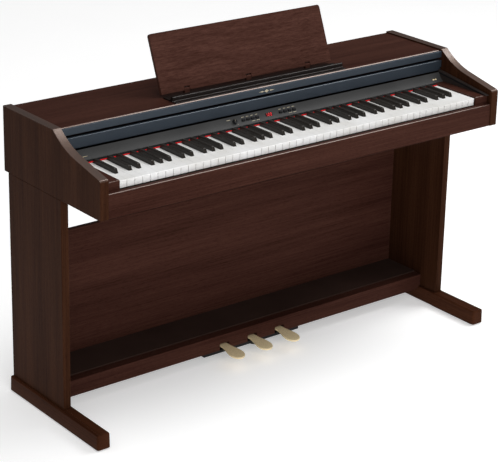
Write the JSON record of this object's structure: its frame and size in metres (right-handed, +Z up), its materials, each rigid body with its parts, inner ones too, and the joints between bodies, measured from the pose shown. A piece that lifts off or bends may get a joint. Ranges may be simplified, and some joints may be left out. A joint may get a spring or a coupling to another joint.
{
  "type": "digital piano on stand",
  "caption": "Cabinet digital piano on a two-legged stand, with a sliding lid over the keyboard, a folding music rest, a control panel and three pedals.",
  "frame": {"origin": "on the floor, below the middle of the bounding box", "axes": "+X to the treble end, -Y towards the player, +Z up"},
  "size_m": [1.382, 0.457, 0.9681],
  "materials": {
    "dark_wood": "satin laminate",
    "wood": "satin laminate",
    "black_board": "matte",
    "strip_grey": "satin",
    "panel_grey": "satin",
    "black_plastic": "matte",
    "gloss_black": "gloss",
    "red_window": "gloss",
    "circuit": "satin",
    "red_felt": "matte",
    "steel": "brushed",
    "brass": "polished",
    "key_white": "satin",
    "key_black": "gloss",
    "pad": "matte"
  },
  "bodies": {
    "cabinet": {"left_cheek": "dark_wood", "right_cheek": "dark_wood", "top_board": "wood", "fascia": "strip_grey", "cabinet_back": "black_board", "key_bed": "black_board", "key_slip": "wood", "key_blocks": "wood", "lid_rails": "dark_wood", "control_panel": "panel_grey", "display_window": "red_window", "circuit_boards": "circuit", "felt_strip": "red_felt", "key_frame": "steel", "speakers": "black_plastic", "jack_box": "black_plastic", "left_leg": "dark_wood", "right_leg": "dark_wood", "left_foot": "wood", "right_foot": "wood", "stand_back": "wood", "pedal_rail": "wood", "pedal_shelf": "black_board", "pedal_box": "black_plastic", "pedal_shaft": "steel", "pedal_springs": "steel", "foot_pads": "pad", "stand_screws": "steel", "music_ledge": "gloss_black", "rest_hinge": "steel"},
    "keys_c": {"keys_c": "key_white"},
    "keys_c_sharp": {"keys_c_sharp": "key_black"},
    "keys_d": {"keys_d": "key_white"},
    "keys_d_sharp": {"keys_d_sharp": "key_black"},
    "keys_e": {"keys_e": "key_white"},
    "keys_f": {"keys_f": "key_white"},
    "keys_f_sharp": {"keys_f_sharp": "key_black"},
    "keys_g": {"keys_g": "key_white"},
    "keys_g_sharp": {"keys_g_sharp": "key_black"},
    "keys_a": {"keys_a": "key_white"},
    "keys_a_sharp": {"keys_a_sharp": "key_black"},
    "keys_b": {"keys_b": "key_white"},
    "button_1": {"button_1": "black_plastic"},
    "button_2": {"button_2": "black_plastic"},
    "button_3": {"button_3": "black_plastic"},
    "button_4": {"button_4": "black_plastic"},
    "button_5": {"button_5": "black_plastic"},
    "button_6": {"button_6": "black_plastic"},
    "button_7": {"button_7": "black_plastic"},
    "button_8": {"button_8": "black_plastic"},
    "left_pedal": {"left_pedal": "brass"},
    "middle_pedal": {"middle_pedal": "brass"},
    "right_pedal": {"right_pedal": "brass"},
    "volume_knob": {"volume_knob": "black_plastic"},
    "music_rest": {"music_rest": "wood"},
    "rest_prop": {"rest_prop": "steel"},
    "pedal_adjuster": {"pedal_adjuster": "black_plastic"},
    "lid_carriage": {"lid_shaft": "steel"},
    "lid": {"lid_panel": "dark_wood", "lid_grip": "strip_grey"}
  },
  "joints": [
    {"name": "keys_c_press", "type": "hinge", "parent": "cabinet", "child": "keys_c", "pos_m": [0, 0.0115, 0.6929], "axis": [1, 0, 0], "range_deg": [0, 2.6], "stiffness_Nm_per_rad": 4, "springref_deg": -20.05},
    {"name": "keys_c_sharp_press", "type": "hinge", "parent": "cabinet", "child": "keys_c_sharp", "pos_m": [0, 0.0115, 0.6929], "axis": [1, 0, 0], "range_deg": [0, 2.6], "stiffness_Nm_per_rad": 4, "springref_deg": -20.05},
    {"name": "keys_d_press", "type": "hinge", "parent": "cabinet", "child": "keys_d", "pos_m": [0, 0.0115, 0.6929], "axis": [1, 0, 0], "range_deg": [0, 2.6], "stiffness_Nm_per_rad": 4, "springref_deg": -20.05},
    {"name": "keys_d_sharp_press", "type": "hinge", "parent": "cabinet", "child": "keys_d_sharp", "pos_m": [0, 0.0115, 0.6929], "axis": [1, 0, 0], "range_deg": [0, 2.6], "stiffness_Nm_per_rad": 4, "springref_deg": -20.05},
    {"name": "keys_e_press", "type": "hinge", "parent": "cabinet", "child": "keys_e", "pos_m": [0, 0.0115, 0.6929], "axis": [1, 0, 0], "range_deg": [0, 2.6], "stiffness_Nm_per_rad": 4, "springref_deg": -20.05},
    {"name": "keys_f_press", "type": "hinge", "parent": "cabinet", "child": "keys_f", "pos_m": [0, 0.0115, 0.6929], "axis": [1, 0, 0], "range_deg": [0, 2.6], "stiffness_Nm_per_rad": 4, "springref_deg": -20.05},
    {"name": "keys_f_sharp_press", "type": "hinge", "parent": "cabinet", "child": "keys_f_sharp", "pos_m": [0, 0.0115, 0.6929], "axis": [1, 0, 0], "range_deg": [0, 2.6], "stiffness_Nm_per_rad": 4, "springref_deg": -20.05},
    {"name": "keys_g_press", "type": "hinge", "parent": "cabinet", "child": "keys_g", "pos_m": [0, 0.0115, 0.6929], "axis": [1, 0, 0], "range_deg": [0, 2.6], "stiffness_Nm_per_rad": 4, "springref_deg": -20.05},
    {"name": "keys_g_sharp_press", "type": "hinge", "parent": "cabinet", "child": "keys_g_sharp", "pos_m": [0, 0.0115, 0.6929], "axis": [1, 0, 0], "range_deg": [0, 2.6], "stiffness_Nm_per_rad": 4, "springref_deg": -20.05},
    {"name": "keys_a_press", "type": "hinge", "parent": "cabinet", "child": "keys_a", "pos_m": [0, 0.0115, 0.6929], "axis": [1, 0, 0], "range_deg": [0, 2.6], "stiffness_Nm_per_rad": 4, "springref_deg": -20.05},
    {"name": "keys_a_sharp_press", "type": "hinge", "parent": "cabinet", "child": "keys_a_sharp", "pos_m": [0, 0.0115, 0.6929], "axis": [1, 0, 0], "range_deg": [0, 2.6], "stiffness_Nm_per_rad": 4, "springref_deg": -20.05},
    {"name": "keys_b_press", "type": "hinge", "parent": "cabinet", "child": "keys_b", "pos_m": [0, 0.0115, 0.6929], "axis": [1, 0, 0], "range_deg": [0, 2.6], "stiffness_Nm_per_rad": 4, "springref_deg": -20.05},
    {"name": "button_1_press", "type": "slide", "parent": "cabinet", "child": "button_1", "axis": [0, 0.7837, -0.6211], "range_m": [0, 0.0012], "stiffness_N_per_m": 300, "springref_m": -0.002},
    {"name": "button_2_press", "type": "slide", "parent": "cabinet", "child": "button_2", "axis": [0, 0.7837, -0.6211], "range_m": [0, 0.0012], "stiffness_N_per_m": 300, "springref_m": -0.002},
    {"name": "button_3_press", "type": "slide", "parent": "cabinet", "child": "button_3", "axis": [0, 0.7837, -0.6211], "range_m": [0, 0.0012], "stiffness_N_per_m": 300, "springref_m": -0.002},
    {"name": "button_4_press", "type": "slide", "parent": "cabinet", "child": "button_4", "axis": [0, 0.7837, -0.6211], "range_m": [0, 0.0012], "stiffness_N_per_m": 300, "springref_m": -0.002},
    {"name": "button_5_press", "type": "slide", "parent": "cabinet", "child": "button_5", "axis": [0, 0.7837, -0.6211], "range_m": [0, 0.0012], "stiffness_N_per_m": 300, "springref_m": -0.002},
    {"name": "button_6_press", "type": "slide", "parent": "cabinet", "child": "button_6", "axis": [0, 0.7837, -0.6211], "range_m": [0, 0.0012], "stiffness_N_per_m": 300, "springref_m": -0.002},
    {"name": "button_7_press", "type": "slide", "parent": "cabinet", "child": "button_7", "axis": [0, 0.7837, -0.6211], "range_m": [0, 0.0012], "stiffness_N_per_m": 300, "springref_m": -0.002},
    {"name": "button_8_press", "type": "slide", "parent": "cabinet", "child": "button_8", "axis": [0, 0.7837, -0.6211], "range_m": [0, 0.0012], "stiffness_N_per_m": 300, "springref_m": -0.002},
    {"name": "left_pedal_press", "type": "hinge", "parent": "cabinet", "child": "left_pedal", "pos_m": [0, 0.1435, 0.052], "axis": [1, 0, 0], "range_deg": [0, 3.3], "stiffness_Nm_per_rad": 20, "springref_deg": -5.73},
    {"name": "middle_pedal_press", "type": "hinge", "parent": "cabinet", "child": "middle_pedal", "pos_m": [0, 0.1435, 0.052], "axis": [1, 0, 0], "range_deg": [0, 3.3], "stiffness_Nm_per_rad": 20, "springref_deg": -5.73},
    {"name": "right_pedal_press", "type": "hinge", "parent": "cabinet", "child": "right_pedal", "pos_m": [0, 0.1435, 0.052], "axis": [1, 0, 0], "range_deg": [0, 3.3], "stiffness_Nm_per_rad": 20, "springref_deg": -5.73},
    {"name": "volume_turn", "type": "hinge", "parent": "cabinet", "child": "volume_knob", "pos_m": [-0.118, -0.029, 0.73299], "axis": [0, -0.7837, 0.6211], "range_deg": [-150, 150]},
    {"name": "lid_slide", "type": "slide", "parent": "cabinet", "child": "lid_carriage", "axis": [0, -1, 0], "range_m": [0, 0.196]},
    {"name": "lid_tilt", "type": "hinge", "parent": "lid_carriage", "child": "lid", "pos_m": [0, 0.1975, 0.754], "axis": [1, 0, 0], "range_deg": [0, 7.16]},
    {"name": "music_rest_fold", "type": "hinge", "parent": "cabinet", "child": "music_rest", "pos_m": [0, 0.06751, 0.817], "axis": [-1, 0, 0], "range_deg": [0, 68]},
    {"name": "rest_prop_fold", "type": "hinge", "parent": "music_rest", "child": "rest_prop", "pos_m": [0, 0.10209, 0.88392], "axis": [1, 0, 0], "range_deg": [0, 131.16]},
    {"name": "adjuster_lift", "type": "slide", "parent": "cabinet", "child": "pedal_adjuster", "axis": [0, 0, 1], "range_m": [0, 0.006]}
  ],
  "couplings": [
    {"joint": "lid_tilt", "follows": "lid_slide", "rad_per_m": 0.63333},
    {"joint": "rest_prop_fold", "follows": "music_rest_fold", "ratio": 1.9281}
  ]
}
